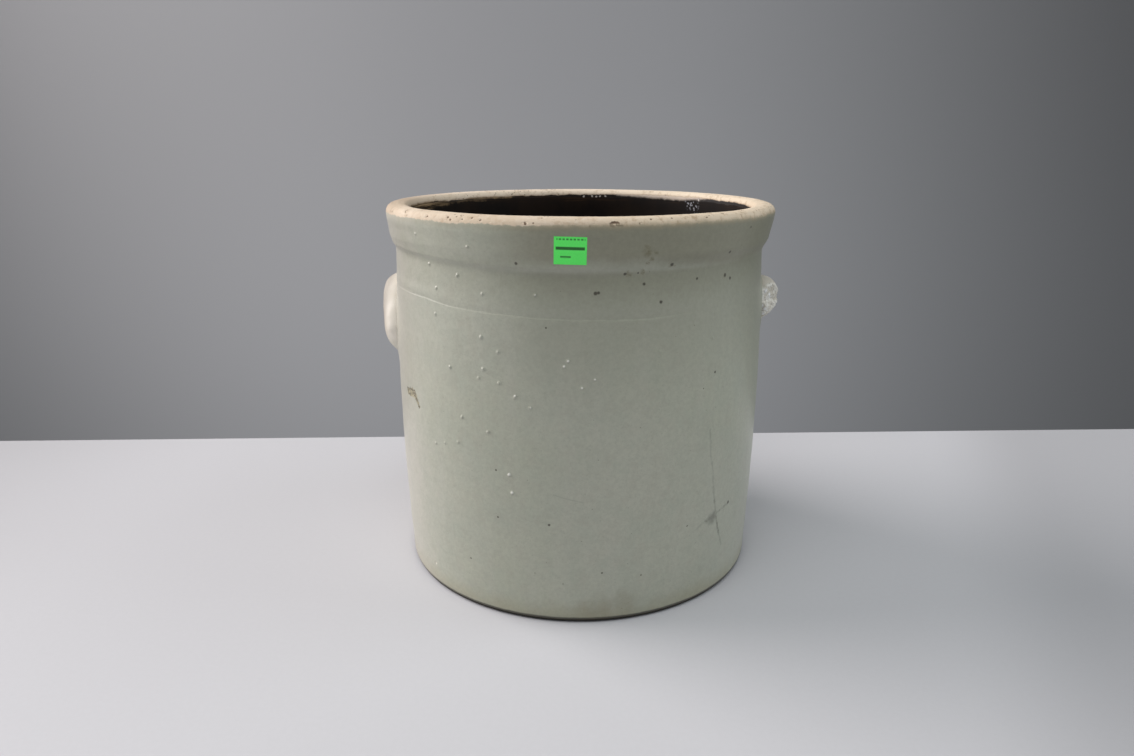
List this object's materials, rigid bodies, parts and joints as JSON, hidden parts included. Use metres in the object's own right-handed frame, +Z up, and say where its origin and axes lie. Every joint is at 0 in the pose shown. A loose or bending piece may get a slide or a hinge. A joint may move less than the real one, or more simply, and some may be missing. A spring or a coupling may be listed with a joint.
{
  "type": "stoneware crock",
  "caption": "Open stoneware crock with a heavy collared rim, arched lug handles, pale outer glaze, dark lining and a paper label; stands on its flat base and stores food or liquid.",
  "frame": {"origin": "centre of the flat base, on the surface that the crock stands on", "axes": "+Z up through the mouth, +X out through the broken lug handle, -Y to the front with the label"},
  "size_m": [0.3106, 0.2914, 0.2815],
  "materials": {
    "bare_clay": "bare fired clay, matte",
    "pale_glaze": "gloss glaze, grey-green",
    "dark_slip": "gloss slip glaze, dark brown",
    "lug_glaze": "gloss glaze, cream",
    "broken_lug": "rough broken stoneware with patches of glaze",
    "green_paper": "matte printed paper"
  },
  "bodies": {
    "root": {"crock_body": "bare_clay", "outer_glaze": "pale_glaze", "inner_glaze": "dark_slip", "left_lug": "lug_glaze", "right_lug": "broken_lug", "paper_label": "green_paper"}
  },
  "joints": []
}
